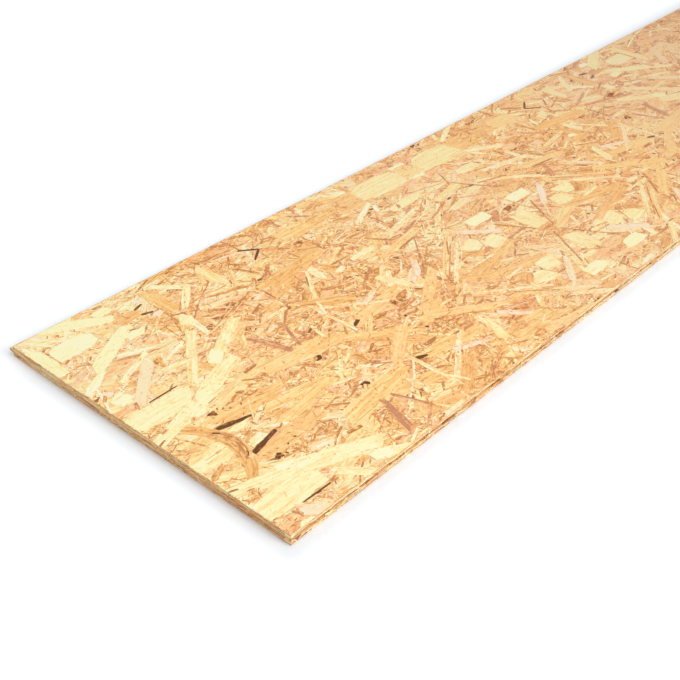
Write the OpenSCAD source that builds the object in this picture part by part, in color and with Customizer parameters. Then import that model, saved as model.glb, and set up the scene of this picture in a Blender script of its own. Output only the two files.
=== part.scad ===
// Tongue and groove strand board for floors: one flat pressed sheet, square sawn across both short ends.
// It lies on its underside, its length along X, with the tongue towards +Y and the groove towards -Y.

/* [Board] */
// Length of the board
board_l = 2400; // [600:50:3000]
// Width of the face, which is what one laid board covers
face_w = 590; // [300:5:1200]
// Thickness of the board
board_t = 18; // [15:0.5:25]

/* [Tongue] */
// How far the tongue stands out from the edge of the face
tongue_l = 10; // [7:0.5:12]
// Thickness of the tongue at its root
tongue_t = 6; // [5:0.1:7]
// Chamfer on each corner of the tongue's nose
nose_chamfer = 1.0; // [0.4:0.1:1.2]

/* [Groove] */
// Play left along each flank of the next board's tongue
flank_play = 0.2; // [0.1:0.05:0.4]
// Play left in front of the next board's tongue
nose_play = 0.8; // [0.3:0.1:1.5]
// How far the lower lip stays back, so that the upper lips close first
lip_setback = 0.5; // [0.1:0.1:1.5]

/* [Tongue and groove] */
// Slope of the flanks, in degrees
flank_slope = 4; // [1:0.5:5]

/* [Hidden] */
overall_w = face_w + tongue_l;
groove_edge = -overall_w / 2;
tongue_edge = groove_edge + face_w;
mid_t = board_t / 2;
root_half = tongue_t / 2;
tip_half = root_half - tongue_l * tan(flank_slope);
mouth_half = root_half + flank_play;
groove_depth = tongue_l + nose_play;
floor_half = mouth_half - groove_depth * tan(flank_slope);
// How far a shape reaches into or past its neighbour, so that they join or cut cleanly
lap = 1;
lap_rise = lap * tan(flank_slope);

// Tongue seen along the board, from a little inside the edge to its chamfered nose
module tongue_outline() {
    translate([tongue_edge, mid_t])
        polygon([
            [-lap, -root_half],
            [0, -root_half],
            [tongue_l - nose_chamfer, -tip_half],
            [tongue_l, nose_chamfer - tip_half],
            [tongue_l, tip_half - nose_chamfer],
            [tongue_l - nose_chamfer, tip_half],
            [0, root_half],
            [-lap, root_half]
        ]);
}

// Groove seen along the board, from a little outside its mouth to its floor
module groove_outline() {
    translate([groove_edge, mid_t])
        polygon([
            [-lap, -mouth_half - lap_rise],
            [groove_depth, -floor_half],
            [groove_depth, floor_half],
            [-lap, mouth_half + lap_rise]
        ]);
}

// Strip that is milled off the lower lip
module setback_outline() {
    translate([groove_edge - lap, -lap])
        square([lap + lip_setback, lap + mid_t]);
}

// Section across the board
module section_outline() {
    difference() {
        union() {
            translate([groove_edge, 0])
                square([face_w, board_t]);
            tongue_outline();
        }
        groove_outline();
        setback_outline();
    }
}

module osb_board() {
    color("burlywood")
        rotate([90, 0, 90])
            linear_extrude(height = board_l, center = true)
                section_outline();
}

osb_board();
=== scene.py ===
import math

import bmesh
import bpy
from mathutils import Matrix, Vector, noise


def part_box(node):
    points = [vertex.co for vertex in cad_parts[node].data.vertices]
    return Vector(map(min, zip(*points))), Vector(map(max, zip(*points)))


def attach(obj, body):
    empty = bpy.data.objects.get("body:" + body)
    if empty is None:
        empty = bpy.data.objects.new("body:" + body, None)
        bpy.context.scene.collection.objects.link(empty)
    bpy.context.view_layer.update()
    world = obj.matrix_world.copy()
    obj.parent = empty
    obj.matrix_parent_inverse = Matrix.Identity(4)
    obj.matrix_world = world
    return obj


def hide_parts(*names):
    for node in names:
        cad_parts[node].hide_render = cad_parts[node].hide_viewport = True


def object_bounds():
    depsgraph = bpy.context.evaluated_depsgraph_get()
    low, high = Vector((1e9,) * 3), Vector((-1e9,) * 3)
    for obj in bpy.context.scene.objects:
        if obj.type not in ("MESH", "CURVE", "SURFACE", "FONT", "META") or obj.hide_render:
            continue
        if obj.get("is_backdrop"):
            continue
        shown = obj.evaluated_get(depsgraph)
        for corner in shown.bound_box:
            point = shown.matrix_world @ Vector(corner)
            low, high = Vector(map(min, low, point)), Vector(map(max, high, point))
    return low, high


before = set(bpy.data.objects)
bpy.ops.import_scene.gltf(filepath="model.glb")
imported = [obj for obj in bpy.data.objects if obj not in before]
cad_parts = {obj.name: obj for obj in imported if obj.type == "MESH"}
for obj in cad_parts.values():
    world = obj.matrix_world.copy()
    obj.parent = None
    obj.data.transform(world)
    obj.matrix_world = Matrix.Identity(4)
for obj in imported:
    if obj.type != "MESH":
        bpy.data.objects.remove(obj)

# Tongue and groove strand board, pressed from thin wood strands.
# Units are metres: the length runs along X, the tongue is towards +Y, the groove towards -Y.

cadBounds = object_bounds()
boardLow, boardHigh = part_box("osb_board")
mm = 0.001

milling = {                        # the same sizes as the joint that is cut in the solid
    "tongueLength": 10 * mm,
    "grooveDepth": 10.8 * mm,
    "mouthHalf": 3.2 * mm,
    "tongueHalf": 3.0 * mm,
    "flankSlope": 4,               # degrees
    "lipSetback": 0.5 * mm,
}
midHeight = (boardLow.z + boardHigh.z) / 2
grooveEdge = boardLow.y
faceEdge = boardHigh.y - milling["tongueLength"]
print("frame loaded")


class Wire:
    # one output socket, so that sums and products on it add their Math nodes
    def __init__(self, net, socket):
        self.net = net
        self.socket = socket

    def __add__(self, other):
        return self.net.calc("ADD", self, other)

    def __radd__(self, other):
        return self.net.calc("ADD", other, self)

    def __sub__(self, other):
        return self.net.calc("SUBTRACT", self, other)

    def __rsub__(self, other):
        return self.net.calc("SUBTRACT", other, self)

    def __mul__(self, other):
        return self.net.calc("MULTIPLY", self, other)

    def __rmul__(self, other):
        return self.net.calc("MULTIPLY", other, self)

    def __truediv__(self, other):
        return self.net.calc("DIVIDE", self, other)

    def __pow__(self, other):
        return self.net.calc("POWER", self, other)

    def __neg__(self):
        return self.net.calc("MULTIPLY", self, -1.0)


class Net:
    # a node tree being built, for shaders and for geometry alike
    def __init__(self, tree):
        self.tree = tree

    def add(self, kind, settings=None, values=None, out=0):
        node = self.tree.nodes.new(kind)
        for name, value in (settings or {}).items():
            if name == "stops":
                self.setStops(node.color_ramp, value)
            else:
                setattr(node, name, value)
        for name, value in (values or {}).items():
            self.feed(node.inputs[name], value)
        return Wire(self, node.outputs[out]) if node.outputs else None

    def feed(self, socket, value):
        if isinstance(value, Wire):
            self.tree.links.new(value.socket, socket)
        else:
            socket.default_value = value

    def setStops(self, ramp, stops):
        while len(ramp.elements) > 1:
            ramp.elements.remove(ramp.elements[0])
        ramp.elements[0].position = stops[0][0]
        ramp.elements[0].color = stops[0][1]
        for place, colour in stops[1:]:
            ramp.elements.new(place).color = colour

    def calc(self, operation, *values):
        return self.add("ShaderNodeMath", {"operation": operation}, dict(enumerate(values)))

    def vector(self, x, y, z):
        return self.add("ShaderNodeCombineXYZ", None, {0: x, 1: y, 2: z})

    def split(self, vector):
        first = self.add("ShaderNodeSeparateXYZ", None, {0: vector})
        return [Wire(self, socket) for socket in first.socket.node.outputs]

    def mixFloat(self, factor, a, b):
        return self.add("ShaderNodeMix", {"data_type": "FLOAT"}, {0: factor, 2: a, 3: b})

    def mixColour(self, factor, a, b, blend="MIX"):
        settings = {"data_type": "RGBA", "blend_type": blend}
        return self.add("ShaderNodeMix", settings, {0: factor, 6: a, 7: b}, out=2)

    def ease(self, value, start, end, low=0.0, high=1.0):
        settings = {"interpolation_type": "SMOOTHSTEP"}
        return self.add("ShaderNodeMapRange", settings, {0: value, 1: start, 2: end, 3: low, 4: high})

    def noise(self, vector, scale=1.0, detail=2.0, roughness=0.5, distortion=0.0):
        values = {"Vector": vector, "Scale": scale, "Detail": detail,
                  "Roughness": roughness, "Distortion": distortion}
        return self.add("ShaderNodeTexNoise", None, values)

    def attribute(self, name, out):
        return self.add("ShaderNodeAttribute", {"attribute_name": name}, out=out)


def colour(red, green, blue):
    # display values, 0 to 255, as the linear colour that a socket takes
    def linear(value):
        part = value / 255
        return part / 12.92 if part <= 0.04045 else ((part + 0.055) / 1.055) ** 2.4
    return (linear(red), linear(green), linear(blue), 1.0)


def newMaterial(name):
    # an empty material and the net that its nodes are added to
    material = bpy.data.materials.new(name)
    material.use_nodes = True
    material.node_tree.nodes.clear()
    return material, Net(material.node_tree)


def newObject(name, data):
    thing = bpy.data.objects.new(name, data)
    bpy.context.scene.collection.objects.link(thing)
    return thing


strandWood = {
    "tones": [                     # from freshly cut sapwood to bark-side wood
        (0.00, (255, 251, 217)),
        (0.14, (255, 240, 193)),
        (0.30, (255, 228, 174)),
        (0.46, (255, 213, 154)),
        (0.62, (252, 198, 136)),
        (0.76, (242, 180, 117)),
        (0.87, (220, 155, 99)),
        (0.95, (174, 112, 68)),
        (1.00, (108, 64, 34)),
    ],
    "pinkHeart": (253, 239, 249),
    "heartBrown": (206, 148, 116),
    "yellowing": (255, 253, 230),
    "lateWood": (226, 154, 88),
    # colour of the painted shadow along one long side of each strand
    "edgeShadowBrown": (186, 124, 72),
    "endGrain": (235, 217, 200),
    # colour of the painted sheen, a reflection painted into the wood
    "paintedSheenColour": (222, 204, 193),
    "middleTone": 0.34,            # what thin, torn edges lean towards
    "streaksPerMetre": 210,
    "roughness": 0.62,
    "thinning": 0.45,
    "layered": 0.0,                # long thin lines, on the sawn edges only
    # width and strength of that painted shadow line
    "edgeShadowWidth": 1.3 * mm,
    "edgeShadowStrength": 0.55,
    "fines": True,                 # small slivers and dust, on the faces only
    "drift": [                     # slow changes of tone along the board: from, to, change
        (0.12, 0.42, 0.13),
        (0.55, 0.75, -0.07),
        (0.85, 1.15, 0.07),
        (1.25, 1.50, 0.05),
        (0.22, 0.05, -0.03),
    ],
    "driftAcross": (0.03, 0.16, -0.04),
    "paintedCornerHighlight": 0.10,            # painted highlight: the near corner beside the tongue is paler by this
    "paintedSheenSteps": [                   # the same for the painted sheen, a pale haze that stands for reflections at grazing angles
        (0.48, 0.78, 0.10),
        (0.88, 1.10, -0.05),
        (1.20, 1.50, 0.14),
    ],
    "contrast": (0.45, 1.35, 1.26, 0.66),      # of the figure: from, to, near, far
    "finesContrast": (0.45, 1.35, 1.32, 0.62),
    "bumpDepth": 0.4 * mm,
}
fines = [                          # cells per metre, half length, half width, share, shift from and to
    (70, 9.0 * mm, 0.80 * mm, 0.36, -0.40, 0.65),
    (130, 4.5 * mm, 0.70 * mm, 0.36, -0.40, 0.65),
    (105, 2.2 * mm, 1.10 * mm, 0.11, 0.10, 0.75),
]


class StrandSpot:
    # what a material knows about the spot of a strand that it shades
    def __init__(self, net):
        self.net = net
        self.tone = net.attribute("tone", 2)
        self.hue = net.attribute("hue", 2)
        self.sawn = net.attribute("sawn", 2)
        self.along, self.across, self.strand = net.split(net.attribute("grain", 1))
        self.reachAlong, self.reachAcross = net.split(net.attribute("reach", 1))[:2]
        self.own = net.add("ShaderNodeTexWhiteNoise", {"noise_dimensions": "1D"}, {"W": self.strand})
        self.ownTint, self.ownSide = net.split(Wire(net, self.own.socket.node.outputs["Color"]))[:2]
        self.x, self.y, self.z = net.split(net.add("ShaderNodeTexCoord", out=3))
        self.fromNearEnd = self.x - boardLow.x

    def noise(self, perAlong, perAcross, salt, detail, roughness=0.5):
        # noise in the strand's own two directions, different for every strand
        place = self.net.vector(self.along * perAlong, self.across * perAcross, self.strand + salt)
        return self.net.noise(place, detail=detail, roughness=roughness)


def addSteps(net, distance, steps):
    # the sum of slow steps, each given by where it starts, where it ends and its size
    total = 0.0
    for start, end, change in steps:
        total = total + net.ease(distance, start, end, 0.0, change)
    return total


def addFines(spot, tone):
    # small slivers and dust that lie over the strands, thicker in some spots than in others
    net = spot.net
    patches = net.noise(net.vector(spot.x, spot.y, 0.0), scale=13.0, detail=2.0)
    bright = net.ease(spot.tone, 1.00, 0.85) * net.ease(spot.reachAcross, 5 * mm, 9 * mm, 1.0, 0.5)
    bright = bright * net.ease(spot.fromNearEnd, *strandWood["finesContrast"])
    for number, (perMetre, halfLength, halfWidth, share, lighter, darker) in enumerate(fines):
        flat = net.vector(spot.x + number * 3.1, spot.y, 0.0)
        cells = {"Vector": flat, "Scale": perMetre}
        cell = net.add("ShaderNodeTexVoronoi", {"voronoi_dimensions": "2D"}, cells).socket.node
        ends = {0: flat, 1: Wire(net, cell.outputs["Position"])}
        offset = net.add("ShaderNodeVectorMath", {"operation": "SUBTRACT"}, ends)
        offX, offY = net.split(offset)[:2]
        first, second, third = net.split(Wire(net, cell.outputs["Color"]))
        turn = first * math.pi
        cosine = net.calc("COSINE", turn)
        sine = net.calc("SINE", turn)
        along = (offX * cosine + offY * sine) / halfLength
        across = (offY * cosine - offX * sine) / (halfWidth * (0.6 + second))
        inside = net.ease(along * along + across * across, 1.0, 0.55)
        there = net.calc("LESS_THAN", third, share * net.ease(patches, 0.36, 0.66, 0.35, 1.5))
        shift = second * (darker - lighter) + lighter
        tone = tone + inside * there * shift * bright
    return tone


def tornTone(spot, values):
    # torn edges are thin and lean towards the tone of what lies around them
    net = spot.net
    fray = spot.noise(25, 420, 5, 1.0)
    wobble = spot.noise(150, 150, 71, 2.0)
    nearEnd = spot.reachAlong - net.calc("ABSOLUTE", spot.along)
    nearSide = spot.reachAcross - net.calc("ABSOLUTE", spot.across)
    tornEnd = nearEnd + (fray - 0.56) * 14 * mm
    thinWidth = net.calc("MINIMUM", spot.reachAcross * 0.4, 1.8 * mm)
    tornSide = nearSide + (wobble - 0.5) * thinWidth * 1.2
    thin = net.ease(net.calc("MINIMUM", tornEnd, tornSide), thinWidth, 0.0, 0.0, values["thinning"])
    thin = thin * net.ease(spot.reachAcross, 1.4 * mm, 4.0 * mm) * net.ease(spot.tone, 1.02, 0.94)
    return net.mixFloat(thin, spot.tone, values["middleTone"])


def woodTone(spot, values, streaks, mottle):
    # the strand's own tone with the figure of its grain, the drift along the board and what lies over it
    net = spot.net
    blotches = spot.noise(60, 110, 80, 3.0, 0.6)
    plain = net.ease(spot.reachAcross, 4 * mm, 11 * mm, 1.15, 0.25)
    figure = (0.45 + spot.own * 0.75) * net.ease(spot.reachAcross, 4 * mm, 11 * mm, 1.35, 0.8)
    change = (streaks - 0.5) * figure * 1.3 + (blotches - 0.5) * 0.45 + (mottle - 0.5) * plain * 1.1
    strength = net.ease(spot.fromNearEnd, *values["contrast"]) * net.ease(spot.tone, 0.60, 0.80, 1.0, 1.45)
    # painted highlight: the tone is lighter towards the near corner beside the tongue
    corner = net.ease(spot.fromNearEnd, 0.26, 0.08) * net.ease(spot.y, 0.02, 0.14)
    drift = addSteps(net, spot.fromNearEnd, values["drift"]) + addSteps(net, spot.y, [values["driftAcross"]])
    drift = drift - corner * values["paintedCornerHighlight"]
    tone = tornTone(spot, values) + change * strength * net.ease(spot.tone, 1.05, 0.90, 0.22, 1.0) + drift
    lines = net.noise(net.vector(spot.x * 14, spot.y * 14, spot.z * 330), detail=2.0, roughness=0.6)
    tone = tone + (lines - 0.5) * values["layered"]
    if values["fines"]:
        flecks = net.ease(spot.noise(130, 520, 21, 1.0), 0.64, 0.74) * (0.15 + spot.own * 0.5)
        tone = addFines(spot, tone + flecks)
    return net.calc("MINIMUM", tone, net.calc("MAXIMUM", spot.tone, 0.90))


def addTints(spot, values, wood, streaks):
    # pink and brown heartwood, a yellow cast and the slow bands of late wood
    net = spot.net
    pink = net.ease(spot.hue, 0.36, 0.14)
    wood = net.mixColour(pink, wood, colour(*values["pinkHeart"]), "MULTIPLY")
    heart = net.ease(spot.hue, 0.22, 0.10) * net.ease(spot.tone, 0.58, 0.74)
    heart = heart * net.ease(streaks, 0.35, 0.65, 0.15, 0.65)
    wood = net.mixColour(heart, wood, colour(*values["heartBrown"]))
    yellow = net.ease(spot.noise(28, 70, 33, 2.0, 0.6) * 0.7 + spot.ownTint * 0.3, 0.36, 0.64)
    yellow = net.calc("MINIMUM", yellow + net.ease(spot.reachAcross, 7 * mm, 10 * mm, 0.0, 0.5), 1.0)
    wood = net.mixColour(yellow, wood, colour(*values["yellowing"]), "MULTIPLY")
    wander = spot.noise(9, 60, 40, 1.0)
    rings = net.calc("SINE", (spot.across * 130 + wander * 5 + spot.strand) * (2 * math.pi)) * 0.5 + 0.5
    late = (rings ** 3) * net.ease(spot.hue, 0.45, 0.95) * 0.45
    return net.mixColour(late, wood, colour(*values["lateWood"]))


def addEdgeShadow(spot, values, wood):
    # painted shadow: one long side has a darker line, unevenly so, where the strand would shade its neighbour
    net = spot.net
    way = net.calc("GREATER_THAN", spot.ownSide, 0.5) * 2 - 1
    nearShadowSide = spot.reachAcross - spot.across * way
    uneven = net.ease(spot.noise(90, 90, 63, 1.0), 0.44, 0.60)
    edgeShadow = net.ease(nearShadowSide, values["edgeShadowWidth"], 0.0) * uneven * values["edgeShadowStrength"]
    return net.mixColour(edgeShadow, wood, colour(*values["edgeShadowBrown"]))


def makeStrandMaterial(name, values):
    material, net = newMaterial(name)
    spot = StrandSpot(net)
    streaks = spot.noise(16, values["streaksPerMetre"], 0, 3.0, 0.65)
    mottle = spot.noise(140, 210, 9, 2.0, 0.6)
    stops = [(stop, colour(*rgb)) for stop, rgb in values["tones"]]
    wood = net.add("ShaderNodeValToRGB", {"stops": stops}, {0: woodTone(spot, values, streaks, mottle)})
    wood = addTints(spot, values, wood, streaks)
    # the painted edge shadow goes over the wood colour
    wood = addEdgeShadow(spot, values, wood)
    wood = net.mixColour(spot.sawn, wood, colour(*values["endGrain"]), "MULTIPLY")
    # painted reflection: a pale sheen mixed in by distance along the board
    paintedSheenShare = addSteps(net, spot.fromNearEnd, values["paintedSheenSteps"])
    wood = net.mixColour(paintedSheenShare, wood, colour(*values["paintedSheenColour"]))
    bump = net.add("ShaderNodeBump", None, {
        "Strength": 0.35, "Distance": values["bumpDepth"], "Height": streaks + mottle * 0.4})
    shader = net.add("ShaderNodeBsdfPrincipled", None, {
        "Base Color": wood,
        "Roughness": values["roughness"] + (streaks - 0.5) * 0.25,
        "Specular IOR Level": 0.25,
        "Normal": bump,
    })
    net.add("ShaderNodeOutputMaterial", None, {"Surface": shader})
    return material


faceWood = makeStrandMaterial("face_wood", strandWood)
cutWood = makeStrandMaterial("cut_wood", dict(
    strandWood, streaksPerMetre=900, thinning=0.0, layered=1.1,
    edgeShadowWidth=0.25 * mm, edgeShadowStrength=0.45, fines=False))
print("strand materials ready")

sheetMargin = (20 * mm, 5 * mm)    # strands start this far outside a sheet, so that its edges are filled
layerInputs = {                    # every input of the tree, with what it holds unless a layer says
    "Placed": None,
    "Count": 100,
    "Seed": 1,
    "Clump": 1,                    # how many strands share one spot
    "Clump Radius": 0.0,
    "Sheet Length": 2.4,
    "Sheet Width": 0.6,
    "Shortest": 0.04,
    "Longest": 0.12,
    "Narrowest": 0.006,
    "Widest": 0.02,
    "Thickness": 0.0008,
    "Lowest": -0.0008,             # range of the strands' tops
    "Highest": 0.0,
    "Drop": 0.0002,                # how far one end dips under its neighbours
    "Spread": 0.6,                 # most turn away from the length, in radians
    "Stray Share": 0.3,            # share of strands that lie at any angle
    "Taper": 0.3,
    "Slant": 0.6,
    "Ragged": 0.12,
    "Wavy": 0.25,                  # slow swings of the long sides, as a share of the width
    "Bend": 0.03,
    "Bevel": 0.0002,
    "Tone Low": 0.0,
    "Tone High": 1.0,
    "Tone Shape": 1.2,             # above 1 makes the pale strands commoner
    "Columns": 10,                 # cells of the bake map across and down
    "Rows": 10,
    "Points Along": 5,
    "Points Across": 2,
    "Material": None,
}
socketKinds = {
    int: "NodeSocketInt",
    float: "NodeSocketFloat",
    "Placed": "NodeSocketGeometry",
    "Material": "NodeSocketMaterial",
}


class LayerNet(Net):
    # the net of the layer tree, with the tree's inputs at hand
    def __init__(self, tree):
        super().__init__(tree)
        groupInput = self.add("NodeGroupInput").socket.node
        self.given = {name: Wire(self, groupInput.outputs[name]) for name in layerInputs}

    def chance(self, low, high, salt, number=None):
        # a random value for each strand, or for each number that is handed in
        values = {2: low, 3: high, "Seed": self.given["Seed"] + salt}
        if number is not None:
            values["ID"] = number
        return self.add("FunctionNodeRandomValue", {"data_type": "FLOAT"}, values, out=1)

    def store(self, geometry, name, value, kind="FLOAT", domain="POINT"):
        settings = {"data_type": kind, "domain": domain}
        values = {"Geometry": geometry, "Name": name, "Value": value}
        return self.add("GeometryNodeStoreNamedAttribute", settings, values)

    def read(self, name, kind="FLOAT"):
        return self.add("GeometryNodeInputNamedAttribute", {"data_type": kind}, {"Name": name})


def scatterPoints(net):
    # the middles of the strands, alone or in clumps, with what differs from strand to strand
    given = net.given
    index = net.add("GeometryNodeInputIndex")
    clump = net.calc("FLOOR", index / given["Clump"])
    halfLength = given["Sheet Length"] * 0.5 + sheetMargin[0]
    halfWidth = given["Sheet Width"] * 0.5 + sheetMargin[1]
    centreX = net.chance(-halfLength, halfLength, 1, clump)
    centreY = net.chance(-halfWidth, halfWidth, 2, clump)
    strayX = (net.chance(-1.0, 1.0, 3) + net.chance(-1.0, 1.0, 4)) * given["Clump Radius"]
    strayY = (net.chance(-1.0, 1.0, 5) + net.chance(-1.0, 1.0, 6)) * given["Clump Radius"]
    spot = net.vector(centreX + strayX, centreY + strayY, 0.0)
    points = net.add("GeometryNodePoints", None, {"Count": given["Count"], "Position": spot, "Radius": 0.001})

    # short and narrow strands are commoner than long and broad ones
    strandLength = net.mixFloat(net.chance(0.0, 1.0, 7) ** 1.3, given["Shortest"], given["Longest"])
    strandWidth = net.mixFloat(net.chance(0.0, 1.0, 8) ** 1.6, given["Narrowest"], given["Widest"])
    steady = (net.chance(-1.0, 1.0, 9) + net.chance(-1.0, 1.0, 10)) * 0.5 * given["Spread"]
    anyWay = net.chance(-1.5708, 1.5708, 11)               # up to a quarter turn either way
    isStray = net.calc("LESS_THAN", net.chance(0.0, 1.0, 12), given["Stray Share"])
    toneShare = net.chance(0.0, 1.0, 14) ** given["Tone Shape"]
    size = net.vector(strandLength, strandWidth, given["Thickness"])
    points = net.store(points, "size", size, "FLOAT_VECTOR")
    traits = {
        "turn": net.mixFloat(isStray, steady, anyWay),
        "top": net.chance(given["Lowest"], given["Highest"], 13),
        "tone": net.mixFloat(toneShare, given["Tone Low"], given["Tone High"]),
        "hue": net.chance(0.0, 1.0, 15),
        "bend": net.chance(-1.0, 1.0, 16) * given["Bend"],
        "number": index,
    }
    for label, value in traits.items():
        points = net.store(points, label, value)
    return points


def addPlaced(net, points):
    # strands set one by one come in as the vertices of a mesh, with the same traits
    placed = net.add("GeometryNodeMeshToPoints", None, {"Mesh": net.given["Placed"], "Radius": 0.001})
    joined = net.add("GeometryNodeJoinGeometry")
    for part in (placed, points):
        net.tree.links.new(part.socket, joined.socket.node.inputs[0])
    return net.store(joined, "centre", net.add("GeometryNodeInputPosition"), "FLOAT_VECTOR")


def makeBlocks(net, points):
    # one block for every strand, whose corners and faces keep where they lie in it
    block = net.add("GeometryNodeMeshCube", None, {
        "Size": (1.0, 1.0, 1.0), "Vertices X": net.given["Points Along"],
        "Vertices Y": net.given["Points Across"], "Vertices Z": 2})
    block = net.store(block, "cell", net.add("GeometryNodeInputPosition"), "FLOAT_VECTOR")
    facing = net.split(net.add("GeometryNodeInputNormal"))
    block = net.store(block, "facing", net.vector(*facing), "FLOAT_VECTOR", "FACE")
    instances = net.add("GeometryNodeInstanceOnPoints", None, {"Points": points, "Instance": block})
    return net.add("GeometryNodeRealizeInstances", None, {"Geometry": instances})


def shapeBlocks(net, strands):
    # slants, tapers, tears and bends each block; hands back where its corners go
    given = net.given
    u, v, w = net.split(net.read("cell", "FLOAT_VECTOR"))
    length, width, thickness = net.split(net.read("size", "FLOAT_VECTOR"))
    number = net.read("number")

    def perEnd(low, salt):
        # a random value of its own for each end of the strand
        isFar = net.calc("GREATER_THAN", u, 0.0)
        return net.mixFloat(isFar, net.chance(low, 1.0, salt, number), net.chance(low, 1.0, salt + 1, number))

    endShare = net.calc("ABSOLUTE", u) * 2
    endCube = endShare * endShare * endShare
    slant = perEnd(-1.0, 20) * given["Slant"]
    corner = number * 97 + net.calc("ROUND", (u + 0.5) * 24) * 4 + net.calc("ROUND", (v + 0.5) * 3)
    jagAlong = net.chance(-1.0, 1.0, 22, corner) * given["Ragged"]
    jagAcross = net.chance(-1.0, 1.0, 23, corner) * given["Ragged"]
    keep = 1 - perEnd(0.0, 24) * given["Taper"] * endShare * endShare
    bevel = (w + 0.5) * given["Bevel"]                     # the top is a little smaller than the underside
    endWidth = net.calc("MINIMUM", width, length * 0.35)   # short strands are slanted less
    flatX = u * length + endWidth * endCube * (slant * v + jagAlong * 0.8)
    swing = net.noise(net.vector(u * length, v * 3 + number * 1.7, 0.0), scale=42.0, detail=1.0) - 0.5
    flatY = v * width * keep + width * (jagAcross * 0.5 + swing * given["Wavy"]) * net.calc("SIGN", v)
    bowed = flatY + net.read("bend") * length * (endShare * endShare - 0.33)
    localX = flatX - net.calc("SIGN", u) * endCube * bevel
    localY = bowed - net.calc("SIGN", v) * bevel
    dipWay = net.calc("SIGN", net.chance(-1.0, 1.0, 26, number))
    dip = net.chance(0.0, 1.0, 27, number) * given["Drop"] * (0.5 + u * dipWay)
    localZ = net.read("top") - thickness * (0.5 - w) - dip
    cosine = net.calc("COSINE", net.read("turn"))
    sine = net.calc("SINE", net.read("turn"))
    centreX, centreY = net.split(net.read("centre", "FLOAT_VECTOR"))[:2]
    place = net.vector(
        centreX + localX * cosine - localY * sine,
        centreY + localX * sine + localY * cosine,
        localZ)
    strands = net.store(strands, "grain", net.vector(flatX, flatY, number * 1.37), "FLOAT_VECTOR")
    reach = net.vector(length * 0.5, width * keep * 0.5, thickness)
    return net.store(strands, "reach", reach, "FLOAT_VECTOR"), place


def layBakeMap(net, strands):
    # each strand has a cell: its top takes most of it, the sides and the underside narrow strips
    given = net.given
    u, v, w = net.split(net.read("cell", "FLOAT_VECTOR"))
    faceX, faceY, faceZ = net.split(net.read("facing", "FLOAT_VECTOR"))
    number = net.read("number")
    onTop = net.calc("GREATER_THAN", faceZ, 0.5)
    onUnder = net.calc("LESS_THAN", faceZ, -0.5)
    onSide = net.calc("GREATER_THAN", net.calc("ABSOLUTE", faceY), 0.5)
    onEnd = net.calc("GREATER_THAN", net.calc("ABSOLUTE", faceX), 0.5)
    spanU = 0.03 + (u + 0.5) * 0.86
    mapU = spanU * (1 - onEnd) + onEnd * (0.925 + faceX * 0.025 + (w + 0.5) * 0.02)
    mapV = (onTop + onEnd) * (0.34 + (v + 0.5) * 0.62)
    mapV = mapV + onUnder * (0.04 + (v + 0.5) * 0.10)
    mapV = mapV + onSide * (0.22 + faceY * 0.04 + (w + 0.5) * 0.03)
    row = net.calc("FLOOR", number / given["Columns"])
    column = number - row * given["Columns"]
    bakeMap = net.vector((column + mapU) / given["Columns"], (row + mapV) / given["Rows"], 0.0)
    return net.store(strands, "OFBake", bakeMap, "FLOAT2", "CORNER")


def makeLayerTree():
    tree = bpy.data.node_groups.new("strand_layer", "GeometryNodeTree")
    for name, default in layerInputs.items():
        kind = socketKinds.get(name) or socketKinds[type(default)]
        socket = tree.interface.new_socket(name=name, in_out="INPUT", socket_type=kind)
        if default is not None:
            socket.default_value = default
    tree.interface.new_socket(name="Geometry", in_out="OUTPUT", socket_type="NodeSocketGeometry")
    net = LayerNet(tree)
    points = addPlaced(net, scatterPoints(net))
    strands, place = shapeBlocks(net, makeBlocks(net, points))
    strands = layBakeMap(net, strands)
    strands = net.add("GeometryNodeSetPosition", None, {"Geometry": strands, "Position": place})
    strands = net.add("GeometryNodeSetMaterial", None, {
        "Geometry": strands, "Material": net.given["Material"]})
    net.add("NodeGroupOutput", None, {"Geometry": strands})
    return tree


layerTree = makeLayerTree()
layerSockets = {item.name: item.identifier for item in layerTree.interface.items_tree
                if item.in_out == "INPUT"}
workAttributes = ["size", "turn", "top", "bend", "number", "centre", "cell", "facing"]


def runLayer(name, settings, source=None):
    # evaluates the tree once and keeps the result as a plain mesh
    mesh = source or bpy.data.meshes.new(name + "_spots")
    holder = newObject(name + "_holder", mesh)
    modifier = holder.modifiers.new("strands", "NODES")
    modifier.node_group = layerTree
    count = settings["Count"] + len(mesh.vertices)
    columns = max(1, math.ceil(math.sqrt(count / 3)))
    values = dict(settings, Columns=columns, Rows=math.ceil(count / columns))
    for label, value in values.items():
        modifier[layerSockets[label]] = value
    depsgraph = bpy.context.evaluated_depsgraph_get()
    made = bpy.data.meshes.new_from_object(
        holder.evaluated_get(depsgraph), preserve_all_data_layers=True, depsgraph=depsgraph)
    bpy.data.objects.remove(holder)
    for label in workAttributes:
        made.attributes.remove(made.attributes[label])
    made.name = name
    return made


sawTear = 0.14 * mm                # the saw leaves the strands' ends this uneven
tearStep = 0.618                   # spreads the strands' shares of it evenly


def cutAt(axis, place, way):
    # a plane across one axis, as a point on it and its outward direction
    outward = Vector((0, 0, 0))
    outward[axis] = way
    return (outward * (place * way), outward)


def between(axis, lowest, highest):
    return [cutAt(axis, lowest, -1), cutAt(axis, highest, 1)]


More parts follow.
